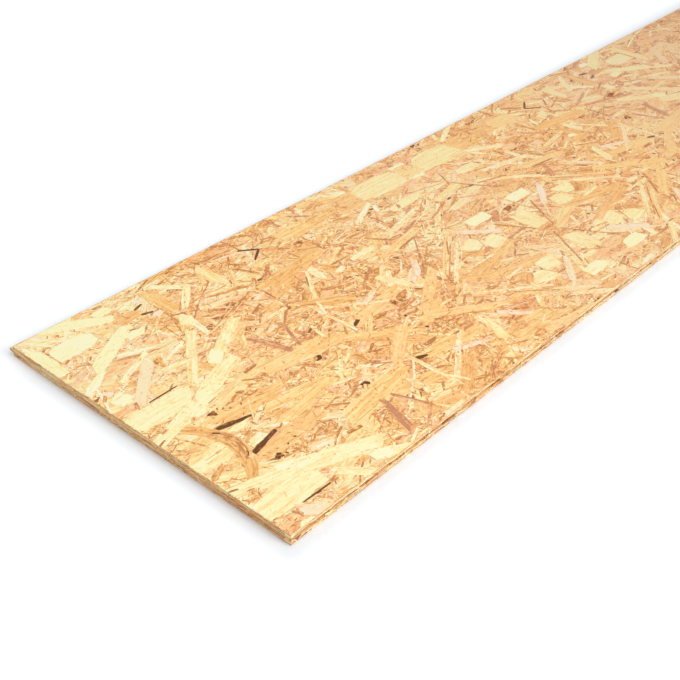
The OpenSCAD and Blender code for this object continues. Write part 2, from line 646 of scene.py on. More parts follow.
def sawOff(mesh, planes):
    # cuts the strands off at each plane and closes the cut faces
    work = bmesh.new()
    work.from_mesh(mesh)
    grain = work.verts.layers.float_vector["grain"]
    sawn = work.faces.layers.float.new("sawn")
    salt = len(mesh.polygons) * 0.0137         # so that no two layers share a plane
    for point, outward in planes:
        everything = work.verts[:] + work.edges[:] + work.faces[:]
        cut = bmesh.ops.bisect_plane(
            work, geom=everything, dist=1e-7, plane_co=point, plane_no=outward, clear_outer=True)
        openEdges = [part for part in cut["geom_cut"]
                     if isinstance(part, bmesh.types.BMEdge) and part.is_boundary]
        for face in bmesh.ops.holes_fill(work, edges=openEdges, sides=0)["faces"]:
            face[sawn] = 1.0
        for part in cut["geom_cut"]:
            if isinstance(part, bmesh.types.BMVert):
                part.co -= outward * (sawTear * ((part[grain].z * tearStep + salt) % 1.0))
    work.to_mesh(mesh)
    work.free()


def finishPiece(name, mesh):
    piece = newObject(name, mesh)
    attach(piece, "root")
    return piece


# how far the thin lips beside the groove are chipped back
lipWear = {
    "lowerDeepest": 6.0 * mm,
    "upperDeepest": 2.2 * mm,
    "slowPerMetre": 30,
    "quickPerMetre": 140,
    "quickGain": 2.2,
    "sound": 0.08,                 # taken off the wear, so that some stretches stay whole
    "reach": 9 * mm,               # wood further in than this stays where it is
}
mouthTop = midHeight + milling["mouthHalf"]
mouthBottom = midHeight - milling["mouthHalf"]
lowerLipEdge = grooveEdge + milling["lipSetback"]


def wearAt(x, salt):
    slow = noise.noise(Vector((x * lipWear["slowPerMetre"], salt, 0.3)))
    quick = noise.noise(Vector((x * lipWear["quickPerMetre"], salt, 7.1)))
    return min(1.0, max(0.0, slow + quick * lipWear["quickGain"] - lipWear["sound"]))


def wearLips(mesh):
    # the lower lip is worn towards the underside, the upper lip towards the mouth
    for corner in mesh.vertices:
        place = corner.co
        inside = (place.y - grooveEdge) / lipWear["reach"]
        if inside > 1:
            continue
        if place.z < midHeight:
            share = max(0.0, (mouthBottom - place.z) / (mouthBottom - boardLow.z))
            depth = lipWear["lowerDeepest"] * wearAt(place.x, 2.0)
        else:
            share = min(1.0, (boardHigh.z - place.z) / (boardHigh.z - mouthTop))
            depth = lipWear["upperDeepest"] * wearAt(place.x, 5.0)
        place.y += depth * share * (1 - max(0.0, inside))


def layStrands(name, settings, placing, cuts, source=None):
    # runs one layer, puts it where it belongs and cuts it to the board
    mesh = runLayer(name, settings, source)
    mesh.transform(placing)
    sawOff(mesh, cuts)
    wearLips(mesh)
    finishPiece(name, mesh)


faceSheet = {
    "Sheet Length": boardHigh.x - boardLow.x,
    "Sheet Width": faceEdge - grooveEdge,
    "Material": faceWood,
}

bedLayer = {                       # closes the ground under the visible strands
    "Count": 1700, "Seed": 5,
    "Shortest": 70 * mm, "Longest": 150 * mm,
    "Narrowest": 16 * mm, "Widest": 40 * mm,
    "Thickness": 0.8 * mm, "Lowest": -1.05 * mm, "Highest": -0.75 * mm, "Drop": 0.1 * mm,
    "Spread": 1.2, "Stray Share": 0.5,
    "Taper": 0.5, "Slant": 0.9, "Ragged": 0.08, "Bend": 0.04, "Bevel": 0.15 * mm,
    "Tone Low": 0.32, "Tone High": 0.80, "Tone Shape": 1.0,
    "Points Along": 3, "Points Across": 2,
}
platesLayer = {                    # broad flat strands
    "Count": 340, "Seed": 11,
    "Shortest": 70 * mm, "Longest": 165 * mm,
    "Narrowest": 16 * mm, "Widest": 40 * mm,
    "Thickness": 1.0 * mm, "Lowest": -0.66 * mm, "Highest": -0.22 * mm, "Drop": 0.15 * mm,
    "Spread": 1.0, "Stray Share": 0.15,
    "Taper": 0.35, "Slant": 0.8, "Ragged": 0.06, "Bend": 0.03, "Bevel": 0.12 * mm,
    "Tone Low": 0.04, "Tone High": 0.54, "Tone Shape": 1.0,
    "Points Along": 8, "Points Across": 3,
}
strandsLayer = {                   # the common middle size
    "Count": 3000, "Seed": 23,
    "Shortest": 30 * mm, "Longest": 110 * mm,
    "Narrowest": 4 * mm, "Widest": 16 * mm,
    "Thickness": 0.9 * mm, "Lowest": -0.74 * mm, "Highest": -0.20 * mm, "Drop": 0.25 * mm,
    "Spread": 1.4, "Stray Share": 0.35,
    "Taper": 0.7, "Slant": 1.0, "Ragged": 0.10, "Bend": 0.06, "Bevel": 0.12 * mm,
    "Tone Low": 0.03, "Tone High": 0.74, "Tone Shape": 1.0,
    "Points Along": 5, "Points Across": 2,
}
sliversLayer = {                   # short split pieces between the broad ones
    "Count": 5200, "Seed": 67,
    "Shortest": 14 * mm, "Longest": 60 * mm,
    "Narrowest": 1.6 * mm, "Widest": 6.5 * mm,
    "Thickness": 0.7 * mm, "Lowest": -0.66 * mm, "Highest": -0.18 * mm, "Drop": 0.3 * mm,
    "Spread": 1.6, "Stray Share": 0.50,
    "Taper": 0.9, "Slant": 1.4, "Ragged": 0.14, "Bend": 0.06, "Bevel": 0.10 * mm,
    "Tone Low": 0.0, "Tone High": 0.95, "Tone Shape": 0.9,
    "Points Along": 3, "Points Across": 2,
}
stripsLayer = {                    # long and thin, lying over the rest
    "Count": 700, "Seed": 37,
    "Shortest": 50 * mm, "Longest": 150 * mm,
    "Narrowest": 1.8 * mm, "Widest": 7 * mm,
    "Thickness": 0.7 * mm, "Lowest": -0.45 * mm, "Highest": -0.15 * mm, "Drop": 0.3 * mm,
    "Spread": 1.4, "Stray Share": 0.40,
    "Taper": 0.8, "Slant": 1.4, "Ragged": 0.12, "Bend": 0.06, "Bevel": 0.10 * mm,
    "Tone Low": 0.0, "Tone High": 0.88, "Tone Shape": 1.0,
    "Points Along": 6, "Points Across": 2,
}
crumbsLayer = {                    # slivers and crumbs, in clumps
    "Count": 4200, "Seed": 53, "Clump": 42, "Clump Radius": 24 * mm,
    "Shortest": 5 * mm, "Longest": 28 * mm,
    "Narrowest": 1.0 * mm, "Widest": 4.0 * mm,
    "Thickness": 0.6 * mm, "Lowest": -0.55 * mm, "Highest": -0.13 * mm, "Drop": 0.3 * mm,
    "Spread": 1.3, "Stray Share": 0.6,
    "Taper": 0.8, "Slant": 1.2, "Ragged": 0.12, "Bend": 0.05, "Bevel": 0.10 * mm,
    "Tone Low": 0.02, "Tone High": 0.95, "Tone Shape": 0.9,
    "Points Along": 3, "Points Across": 2,
}
faceLayers = {
    "bed": bedLayer,
    "plates": platesLayer,
    "strands": strandsLayer,
    "slivers": sliversLayer,
    "strips": stripsLayer,
    "crumbs": crumbsLayer,
}

sheetMiddle = (grooveEdge + faceEdge) / 2
faceSides = {
    "top": Matrix.Translation((0, sheetMiddle, boardHigh.z)),
    "under": Matrix.Translation((0, sheetMiddle, boardLow.z)) @ Matrix.Rotation(math.pi, 4, "X"),
}
endCuts = between(0, boardLow.x, boardHigh.x)
faceCuts = {
    "top": endCuts + [cutAt(1, faceEdge, 1), cutAt(1, grooveEdge, -1)],
    "under": endCuts + [cutAt(1, faceEdge, 1), cutAt(1, lowerLipEdge, -1)],
}
underSeed = 500                    # added to each layer's own
underCounts = {"slivers": 3200, "crumbs": 2300}      # fewer small strands on the hidden face
for sideName, placing in faceSides.items():
    for layerName, layer in faceLayers.items():
        settings = dict(layer, **faceSheet)
        if sideName == "under":
            settings["Seed"] += underSeed
            settings["Count"] = underCounts.get(layerName, layer["Count"])
        layStrands(f"{layerName}_{sideName}", settings, placing, faceCuts[sideName])
    print("strands laid on the", sideName)

# wood of the strands that are set one by one over the near stretch of the top face: tone, hue
kinds = {
    "white": (-0.08, 0.40),
    "cream": (0.07, 0.42),
    "pale": (0.16, 0.45),
    "pink": (0.00, 0.06),
    "blush": (0.46, 0.05),
    "yellow": (0.35, 0.38),
    "gold": (0.53, 0.42),
    "orange": (0.66, 0.85),
    "copper": (0.90, 0.70),
    "olive": (0.72, 0.42),
    "rust": (0.71, 0.24),
    "amber": (0.85, 0.40),
    "red": (0.79, 0.12),
    "brown": (0.92, 0.50),
    "bark": (1.03, 0.40),
    "dark": (1.08, 0.40),
}
field = {                          # one field is laid out, the next ones mirror it
    "lowLine": -115,               # mirror lines in mm: across the face from its middle
    "highLine": 227,
    "farLine": 860,                # and along it from the near end
    "outside": 310,                # images further out than this are left out
    "mirrorRise": 5,               # images lie this many rows higher in the pile
    "farRise": 10,
}
# kind, distance from the near end, distance from the middle of the face, length, width, turn in degrees
# and, where the strand is bent, its bow; later rows lie on top of earlier ones
setStrands = [
    ("cream", 53, 11, 110, 46, 0),
    ("pale", 30, -115, 66, 42, 0),
    ("rust", 42, -115, 40, 1.5, 0),
    ("rust", 47, -115, 11, 6, 0),
    ("orange", 62, -115, 152, 25, 90, 0.235),
    ("copper", 74, -115, 78, 13, 90, 0.20),
    ("brown", 76, -115, 62, 3, 90, 0.16),
    ("amber", 66, -115, 84, 3, 90, 0.17),
    ("brown", 73, -115, 58, 1.8, 90, 0.15),
    ("cream", 46, -30, 108, 24, 17),
    ("cream", 155, 8, 125, 32, 22),
    ("white", 116, -16, 38, 18, 14),
    ("white", 86, -31, 26, 16, 20),
    ("gold", 142, -70, 126, 31, -5),
    ("yellow", 210, -104, 118, 23, -9),
    ("yellow", 285, -40, 147, 40, -8),
    ("yellow", 400, -95, 104, 22, -35),
    ("yellow", 457, -40, 124, 28, 8),
    ("yellow", 505, -115, 60, 36, 0),
    ("yellow", 548, -75, 140, 20, 33),
    ("gold", 705, -93, 150, 26, 14),
    ("cream", 62, 227, 80, 42, 0),
    ("pale", 10, 227, 100, 22, 90),
    ("cream", 99, 181, 124, 26, 30),
    ("orange", 165, 227, 52, 26, 0),
    ("gold", 232, 227, 84, 26, 90),
    ("pale", 338, 227, 64, 24, 90),
    ("yellow", 545, 227, 84, 42, 0),
    ("gold", 597, 227, 34, 30, 0),
    ("gold", 630, 227, 60, 22, 0),
    ("gold", 683, 227, 66, 60, 0),
    ("pale", 776, 227, 120, 62, 0),
    ("pale", 165, 74, 140, 17, 50),
    ("pink", 77, 78, 108, 20, 45),
    ("blush", 16, 46, 40, 14, -5),
    ("blush", 18, 153, 44, 12, 20),
    ("cream", 26, 127, 56, 16, 32),
    ("pale", 120, 148, 60, 11, -20),
    ("pale", 136, 77, 64, 11, -8),
    ("pale", 90, 118, 84, 10, 24),
    ("cream", 228, 70, 122, 22, 33),
    ("white", 190, 48, 34, 24, 35),
    ("cream", 225, 154, 28, 23, 50),
    ("gold", 450, 138, 150, 30, 7),
    ("gold", 415, 25, 90, 24, -35),
    ("gold", 492, 95, 34, 18, -60),
    ("gold", 338, 81, 44, 17, 5),
    ("cream", 335, 62, 44, 11, 0),
    ("pale", 440, -13, 125, 10, -36),
    ("pink", 478, -12, 74, 12, 22),
    ("pink", 590, -14, 56, 14, 48),
    ("pink", 762, -22, 80, 15, -42),
    ("pale", 700, 105, 120, 13, 12),
    ("pale", 745, 60, 130, 12, 38),
    ("yellow", 640, 60, 120, 18, 10),
    ("yellow", 660, -27, 130, 16, 36),
    ("pale", 650, -54, 130, 9, 37),
    ("pale", 760, 147, 84, 22, 4),
    ("blush", 826, 190, 44, 15, 5),
    ("yellow", 858, 227, 44, 44, 0),
    ("white", 858, 199, 36, 11, 0),
    ("pale", 858, -60, 60, 40, 90),
    ("orange", 858, -98, 38, 16, 0),
    ("white", 798, 8, 56, 27, 0),
    ("cream", 534, -13, 62, 19, -70),
    ("cream", 715, -41, 44, 34, 10),
    ("cream", 753, -60, 42, 34, 12),
    ("yellow", 143, -75, 64, 2.5, 56),
    ("gold", 120, -99, 24, 8, 60),
    ("pale", 138, -97, 38, 7, 30),
    ("cream", 101, -97, 28, 15, -4),
    ("orange", 100, -115, 15, 10, 0),
    ("orange", 160, -115, 30, 15, 0),
    ("dark", 103, -85, 56, 7, -13),
    ("dark", 91, -82, 29, 10, -13),
    ("dark", 83, -80, 13, 9, -13),
    ("bark", 70, -84, 11, 4, -45),
    ("bark", 94, -50, 14, 8, -38),
    ("bark", 97, -48, 9, 5, 30),
    ("bark", 107, -46, 5, 3, 60),
    ("brown", 113, -52, 5, 3, 20),
    ("bark", 121, -58, 4, 3, -30),
    ("bark", 138, -62, 5, 3, 40),
    ("brown", 128, -49, 4, 2.5, 75),
    ("brown", 155, -42, 12, 6, -30),
    ("brown", 204, -11, 26, 8, 8),
    ("orange", 21, -23, 22, 10, -50),
    ("brown", 6, -46, 17, 4, 20),
    ("orange", 16, -84, 36, 11, -25),
    ("blush", 255, -90, 32, 10, 32),
    ("red", 273, -83, 22, 3, -58),
    ("cream", 289, -115, 18, 24, 0),
    ("brown", 286, -106, 13, 2.5, -60),
    ("bark", 294, -68, 11, 7, 60),
    ("bark", 288, -71, 7, 4, 5),
    ("red", 268, 11, 78, 14, -74),
    ("red", 309, 7, 70, 6, 70),
    ("pale", 385, -18, 112, 9, 90),
    ("pale", 342, -18, 36, 7, 76),
    ("cream", 320, -98, 24, 9, 30),
    ("dark", 78, 36, 52, 3, 1),
    ("rust", 114, 32, 24, 3, -25),
    ("red", 35, 43, 16, 6, 65),
    ("white", 30, 70, 27, 26, 20),
    ("red", 15, 89, 15, 6, 50),
    ("brown", 122, 103, 15, 5, 60),
    ("brown", 24, 227, 52, 3, 90),
    ("dark", 197, 215, 21, 5, -18),
    ("pink", 208, 202, 19, 13, 20),
    ("red", 152, 168, 17, 7, 10),
    ("white", 149, 184, 32, 18, -5),
    ("brown", 60, 184, 12, 7, 40),
    ("brown", 32, 201, 13, 4, 30),
    ("brown", 238, 172, 50, 4, -24),
    ("cream", 269, 205, 66, 15, 46),
    ("rust", 288, 202, 22, 8, 10),
    ("brown", 350, 184, 12, 6, 60),
    ("brown", 393, 217, 25, 4, -50),
    ("dark", 440, 216, 37, 5, 36),
    ("brown", 482, 196, 26, 4, -35),
    ("rust", 490, 212, 24, 6, 25),
    ("rust", 286, 118, 138, 10, 19),
    ("orange", 329, 166, 82, 8, -20),
    ("brown", 323, 95, 29, 6, 22),
    ("red", 310, 74, 34, 4, 42),
    ("brown", 365, 101, 60, 3, 88),
    ("rust", 411, 164, 56, 8, 34),
    ("rust", 533, 174, 52, 8, 86),
    ("rust", 549, 145, 56, 9, 48),
    ("cream", 432, 80, 80, 8, 55),
    ("brown", 435, 91, 30, 3, 52),
    ("cream", 464, 98, 44, 18, 80),
    ("white", 501, 77, 22, 12, 15),
    ("rust", 460, 44, 64, 8, -22),
    ("rust", 515, 30, 58, 5, 30),
    ("pale", 393, 20, 42, 7, 65),
    ("pale", 549, -28, 50, 7, 88),
    ("rust", 510, -48, 31, 14, 4),
    ("brown", 484, -49, 12, 5, 5),
    ("rust", 492, -76, 46, 4, 3),
    ("rust", 502, -88, 50, 3, -8),
    ("dark", 466, -93, 6, 4, 60),
    ("brown", 493, -94, 11, 5, 40),
    ("cream", 540, -115, 24, 8, 0),
    ("brown", 366, -109, 22, 5, 30),
    ("brown", 354, -115, 11, 8, 0),
    ("orange", 338, -115, 26, 14, 90),
    ("dark", 399, -49, 19, 7, 24),
    ("brown", 438, -64, 28, 9, 0),
    ("brown", 591, -64, 14, 6, 80),
    ("rust", 644, -45, 120, 3, 37),
    ("brown", 680, -12, 52, 3, 42),
    ("brown", 608, -14, 22, 4, 45),
    ("brown", 661, -67, 9, 6, 70),
    ("orange", 692, -58, 36, 20, -35),
    ("rust", 728, -55, 50, 2.5, 65),
    ("pale", 690, -84, 52, 7, -4),
    ("brown", 746, -108, 26, 4, 35),
    ("brown", 825, -66, 106, 3.5, -60),
    ("rust", 664, 220, 22, 6, -32),
    ("orange", 630, 190, 34, 17, -22),
    ("cream", 674, 177, 84, 12, 27),
    ("white", 703, 172, 26, 9, 58),
    ("rust", 792, 176, 38, 10, 30),
    ("rust", 858, 174, 30, 8, 90),
    ("brown", 738, 147, 16, 7, 55),
    ("brown", 672, 142, 27, 4, 88),
    ("cream", 658, 112, 48, 11, 86),
    ("rust", 687, 115, 32, 6, 35),
    ("rust", 750, 107, 19, 7, -30),
    ("rust", 777, 83, 68, 6, 18),
    ("orange", 766, 55, 36, 20, 20),
    ("dark", 825, 96, 11, 4, 10),
    ("brown", 650, 51, 60, 5, 8),
    ("rust", 645, 28, 62, 3, 48),
    ("brown", 690, 22, 16, 4, 0),
    ("olive", 46, -115, 9, 5, 0),
    ("brown", 143, -93, 9, 3, -30),
    ("rust", 152, -58, 74, 1.4, 4),
    ("rust", 205, -88, 66, 1.2, -14),
    ("rust", 243, -22, 88, 1.2, -6),
    ("orange", 15, -18, 20, 9, 20),
    ("rust", 27, -17, 20, 2.4, -60, 0.12),
    ("brown", 24, -30, 11, 2.2, 20),
    ("rust", 8, -15, 12, 2.4, -25),
    ("brown", 5, -21, 8, 2, 55),
    ("brown", 19, -18, 12, 1.8, -45),
    ("rust", 17, -61, 22, 2.2, -30, 0.10),
    ("brown", 11, -66, 12, 1.8, 25),
    ("rust", 25, -58, 14, 2.0, 60),
    ("brown", 27, 203, 10, 1.8, -30),
    ("brown", 98, 213, 12, 2.0, 25),
    ("rust", 89, 203, 22, 1.4, 20),
    ("brown", 50, 178, 9, 2.0, -50),
]

setLayer = {
    "Count": 0, "Seed": 71, "Thickness": 1.0 * mm, "Drop": 0.0,
    "Taper": 0.38, "Slant": 1.0, "Ragged": 0.12, "Wavy": 0.28, "Bevel": 0.12 * mm,
    "Points Along": 9, "Points Across": 3,
}


def mirrorSets():
    # the listed strands with their mirror images across the board and along it, lowest first
    laid = []
    for row, (kind, x, y, length, width, turn, *bow) in enumerate(setStrands):
        bow = bow[0] if bow else 0
        images = [(y, turn, bow)]
        for line in (field["lowLine"], field["highLine"]):
            image = 2 * line - y
            if abs(y - line) > 1 and abs(image) < field["outside"]:
                images.append((image, -turn, -bow))
        for step, (across, turned, bowed) in enumerate(images):
            rank = row + step * field["mirrorRise"]
            laid.append((rank, kind, x, across, length, width, turned, bowed))
            if field["farLine"] - x > 1:
                rank += field["farRise"]
                further = 2 * field["farLine"] - x
                laid.append((rank, kind, further, across, length, width, -turned, bowed))
    laid.sort(key=lambda strand: strand[0])
    return [strand[1:] for strand in laid]


def makeSpots(name, rows):
    # one vertex for each strand, with what the tree would otherwise draw at random
    spots = []
    sizes = []
    numbers = {"turn": [], "top": [], "tone": [], "hue": [], "bend": [], "number": []}
    for number, (kind, x, y, top, length, width, turn, bow) in enumerate(rows):
        spots.append((x, y, 0.0))
        sizes += [length * mm, width * mm, setLayer["Thickness"]]
        numbers["turn"].append(math.radians(turn))
        numbers["top"].append(top)
        numbers["tone"].append(kinds[kind][0])
        numbers["hue"].append(kinds[kind][1])
        numbers["bend"].append(bow)
        numbers["number"].append(number)
    mesh = bpy.data.meshes.new(name)
    mesh.from_pydata(spots, [], [])
    mesh.attributes.new("size", "FLOAT_VECTOR", "POINT").data.foreach_set("vector", sizes)
    for label, values in numbers.items():
        mesh.attributes.new(label, "FLOAT", "POINT").data.foreach_set("value", values)
    return mesh


# the dark split pieces have straighter, sharper sides than the pale flakes
stickKinds = ("rust", "amber", "red", "brown", "bark", "dark")
stickChanges = {
    "Taper": 0.5, "Slant": 0.6, "Ragged": 0.06, "Wavy": 0.10,
    "Points Along": 7, "Points Across": 2,
}
pile = {"lowest": -0.15 * mm, "height": 0.13 * mm}     # each strand's top is a little above the last one's
flakeRows = []
stickRows = []
laidStrands = mirrorSets()
for place, (kind, x, y, length, width, turn, bow) in enumerate(laidStrands):
    top = pile["lowest"] + pile["height"] * place / len(laidStrands)
    row = (kind, boardLow.x + x * mm, y * mm, top, length, width, turn, bow)
    if kind in stickKinds:
        stickRows.append(row)
    else:
        flakeRows.append(row)
for name, rows, changes in (("set_flakes", flakeRows, {}), ("set_sticks", stickRows, stickChanges)):
    settings = dict(setLayer, **faceSheet)
    settings.update(changes)
    layStrands(name, settings, faceSides["top"], faceCuts["top"], makeSpots(name + "_spots", rows))

coreBody = {
    "faceRecess": 1.1 * mm,        # the strands fill this up to the face
    "sideRecess": 0.5 * mm,
    "flankRecess": 0.25 * mm,
    "woods": [                     # name, colour, darkest share of it, noise per metre along, across, up
        ("gap_wood", (190, 124, 78), 0.50, (55, 55, 700)),
        ("edge_wood", (204, 160, 112), 0.45, (55, 55, 700)),
        ("milled_wood", (255, 218, 160), 0.85, (24, 420, 420)),
    ],
}
touching = 1e-5                    # corners closer to a plane than this lie in it
sameCorner = 1e-6                  # and closer to each other than this are one


def makeCoreMaterial(name, base, depth, grainScale):
    material, net = newMaterial(name)
    x, y, z = net.split(net.add("ShaderNodeTexCoord", out=3))
    alongX, acrossY, upZ = grainScale
    layers = net.noise(net.vector(x * alongX, y * acrossY, z * upZ), detail=3.0, roughness=0.6)
    patches = net.noise(net.vector(x * 9, y * 60, z * 60), detail=2.0)
    light = net.ease(layers + patches * 0.5, 0.5, 0.95)
    dark = tuple(channel * depth for channel in colour(*base)[:3]) + (1.0,)
    wood = net.mixColour(light, dark, colour(*base))
    bump = net.add("ShaderNodeBump", None, {"Strength": 0.4, "Distance": 0.5 * mm, "Height": layers})
    shader = net.add("ShaderNodeBsdfPrincipled", None, {
        "Base Color": wood, "Roughness": 0.75, "Specular IOR Level": 0.2, "Normal": bump})
    net.add("ShaderNodeOutputMaterial", None, {"Surface": shader})
    return material


def makeCore():
    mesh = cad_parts["osb_board"].data.copy()
    mesh.name = "board_core"
    mesh.materials.clear()
    for wood in coreBody["woods"]:
        mesh.materials.append(makeCoreMaterial(*wood))
    work = bmesh.new()
    work.from_mesh(mesh)
    bmesh.ops.remove_doubles(work, verts=work.verts, dist=sameCorner)
    side = coreBody["sideRecess"]
    for corner in work.verts:
        place = corner.co
        if place.z > boardHigh.z - touching:
            place.z -= coreBody["faceRecess"]
        elif place.z < boardLow.z + touching:
            place.z += coreBody["faceRecess"]
        if abs(place.x) > boardHigh.x - touching:
            place.x -= math.copysign(side, place.x)
        if place.y < lowerLipEdge + touching:
            place.y += side
            if place.z < mouthBottom - 1 * mm:         # both lips stay behind their deepest wear
                place.y += lipWear["lowerDeepest"]
            elif abs(place.z - mouthTop) < touching:
                place.y += lipWear["upperDeepest"]
        elif abs(place.y - faceEdge) < touching:
            place.y -= side
        if place.y > faceEdge - 1 * mm and abs(place.z - midHeight) < milling["tongueHalf"] + touching:
            place.z -= math.copysign(coreBody["flankRecess"], place.z - midHeight)
    work.normal_update()
    for face in work.faces:
        middle = face.calc_center_median()
        face.material_index = 1
        if middle.z > boardHigh.z - 2 * mm or middle.z < boardLow.z + 2 * mm:
            face.material_index = 0
        elif abs(face.normal.x) < 0.5:
            face.material_index = 2
    work.to_mesh(mesh)
    work.free()
    return mesh


core = finishPiece("board_core", makeCore())
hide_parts("osb_board")
print("core made")

edgeLayer = {                      # thin strips, the ends and sides of the strands seen from outside
    "Seed": 101,
    "Shortest": 12 * mm, "Longest": 70 * mm,
    "Narrowest": 0.45 * mm, "Widest": 1.7 * mm,
    "Thickness": 0.8 * mm, "Lowest": -0.40 * mm, "Highest": -0.02 * mm, "Drop": 0.12 * mm,
    "Spread": 0.02, "Stray Share": 0.0,
    "Taper": 0.8, "Slant": 0.5, "Ragged": 0.08, "Bend": 0.006, "Bevel": 0.06 * mm,
    "Tone Shape": 1.0, "Points Along": 5, "Points Across": 2, "Material": cutWood,
}
edgeCover = 2.6                    # how many strands deep the edge is laid
stripArea = 36 * mm * 0.8 * mm     # of a common strip
flankRise = math.tan(math.radians(milling["flankSlope"]))
endTones = (0.22, 1.06)            # lowest and highest tone of each edge
# painted highlight: the sawn ends of both lips are paler, as if lit from the groove side
paintedLitLipEndTones = (-0.25, 0.40)
wallTones = (-0.25, 0.42)
splinterLayer = {                  # short torn bits on the walls of the lips
    "Shortest": 3 * mm, "Longest": 16 * mm,
    "Narrowest": 0.8 * mm, "Widest": 2.4 * mm,
    "Lowest": -0.9 * mm, "Highest": 0.42 * mm, "Drop": 0.4 * mm,
    "Spread": 0.5, "Stray Share": 0.2, "Taper": 0.9, "Slant": 1.5, "Ragged": 0.15,
    "Tone Shape": 0.9, "Points Along": 3,
}
flankStrips = {                    # the milled cut runs along the layers and shows broad strands
    "Count": 620, "Shortest": 30 * mm, "Longest": 120 * mm,
    "Narrowest": 1.2 * mm, "Widest": 7 * mm,
    "Thickness": 0.4 * mm, "Lowest": -0.16 * mm, "Highest": -0.01 * mm, "Drop": 0.05 * mm,
    "Spread": 0.5, "Taper": 0.8, "Slant": 1.4, "Bevel": 0.03 * mm,
}
overhang = {"lower": 2.6 * mm, "upper": 1.9 * mm}      # fibres that reach into the mouth of the groove


def standing(alongAxis, point):
    # a sheet stood on edge: its length along the given axis, its width upwards
    along = Vector(alongAxis)
    up = Vector((0, 0, 1))
    outward = along.cross(up)
    turned = Matrix((along, up, outward)).transposed().to_4x4()
    return Matrix.Translation(point) @ turned


def flankPlane(y, z, outwardY, rise):
    # a plane along X through (y, z) that climbs by rise for each metre of y
    way = Vector((0, -rise, 1)).normalized()
    return (Vector((0, y, z)), way * outwardY)


low = boardLow.z + 0.2 * mm        # the edge strips stop just short of both faces
high = boardHigh.z - 0.2 * mm
tongueTop = midHeight + milling["tongueHalf"]
tongueBottom = midHeight - milling["tongueHalf"]
grooveFloor = grooveEdge + milling["grooveDepth"]
noseHalf = milling["tongueHalf"] - milling["tongueLength"] * flankRise
boardLength = boardHigh.x - boardLow.x


def sawnEnd(name, xSign):
    # strips of one end of the board: between the joints, both lips and the tongue
    x = boardHigh.x if xSign > 0 else boardLow.x
    strips = [
        ("body", grooveFloor, faceEdge, low, high, []),
        ("upper_lip", grooveEdge, grooveFloor + 1 * mm, mouthTop - 1 * mm, high,
         [flankPlane(grooveEdge, mouthTop, -1, -flankRise)]),
        ("lower_lip", lowerLipEdge, grooveFloor + 1 * mm, low, mouthBottom + 1 * mm,
         [flankPlane(grooveEdge, mouthBottom, 1, flankRise)]),
        ("tongue", faceEdge - 1 * mm, boardHigh.y, tongueBottom, tongueTop,
         [flankPlane(faceEdge, tongueTop, 1, -flankRise), flankPlane(faceEdge, tongueBottom, -1, flankRise)]),
    ]
    for part, yLow, yHigh, zLow, zHigh, planes in strips:
        middle = Vector((x, (yLow + yHigh) / 2, (zLow + zHigh) / 2))
        place = standing((0, xSign, 0), middle)
        cuts = between(1, yLow, yHigh) + between(2, zLow, zHigh)
        # the lip ends take the paler tones of their painted highlight
        tones = paintedLitLipEndTones if "lip" in part else endTones
        makeEdge(f"{name}_{part}", yHigh - yLow, zHigh - zLow, place, cuts + planes, {}, tones)
    for part, z in (("foot", boardLow.z + 1 * mm), ("brow", boardHigh.z - 1 * mm)):
        place = standing((0, xSign, 0), Vector((x, (grooveFloor + faceEdge) / 2, z)))
        cuts = between(1, grooveFloor, faceEdge) + between(2, boardLow.z, boardHigh.z)
        bits = dict(splinterLayer, Count=420, Lowest=-0.5 * mm, Highest=0.0)
        makeEdge(f"{name}_{part}", faceEdge - grooveFloor, 2 * mm, place, cuts, bits, (0.1, 1.0))


def makeEdge(name, length, width, place, cuts, changes, tones, source=None):
    settings = dict(edgeLayer, **changes)
    wholeLength = length + 2 * sheetMargin[0]
    settings.setdefault("Count", int(edgeCover * wholeLength * width / stripArea) + 4)
    settings["Seed"] = edgeLayer["Seed"] + len(name) * 7 + settings["Count"] % 97      # its own for each edge
    settings["Tone Low"], settings["Tone High"] = tones
    settings["Sheet Length"] = length
    settings["Sheet Width"] = max(width - 2 * sheetMargin[1], 0.0)
    if length > 1:                 # the long edges have strips by the thousand
        settings["Points Along"] = 3
    layStrands(name, settings, place, cuts, source)


def longEdge(name, way, y, zLow, zHigh, changes=None, tones=wallTones, source=None):
    middle = Vector((0, y, (zLow + zHigh) / 2))
    cuts = endCuts + between(2, zLow, zHigh) + between(1, boardLow.y, boardHigh.y)
    place = standing((way, 0, 0), middle)
    makeEdge(name, boardLength, zHigh - zLow, place, cuts, changes or {}, tones, source)


# dark chips that also stand as painted shade where the lower lip throws shadow
# kind, distance from the near end, height above the underside, length, height
lipChipsAndShade = [
    ("dark", 13, 5, 9, 3),
    ("brown", 83, 3, 9, 4),
    ("rust", 150, 6, 18, 5),
    ("brown", 236, 3, 8, 3),
    ("brown", 318, 7, 26, 5),
    ("dark", 327, 5, 13, 4),
    ("brown", 372, 4, 18, 4),
    ("rust", 434, 6, 26, 5),
    ("brown", 505, 3, 9, 3),
    ("brown", 602, 6, 22, 5),
    ("brown", 690, 4, 12, 3),
    ("dark", 772, 6, 12, 5),
    ("brown", 900, 3, 16, 4),
    ("rust", 1040, 4, 24, 4),
    ("brown", 1190, 3, 14, 3),
]
chipsHigh = mouthBottom + 3 * mm   # they may stand this much above the lip's edge before they are cut
chipRise = 0.45 * mm               # how far they come out of the wall


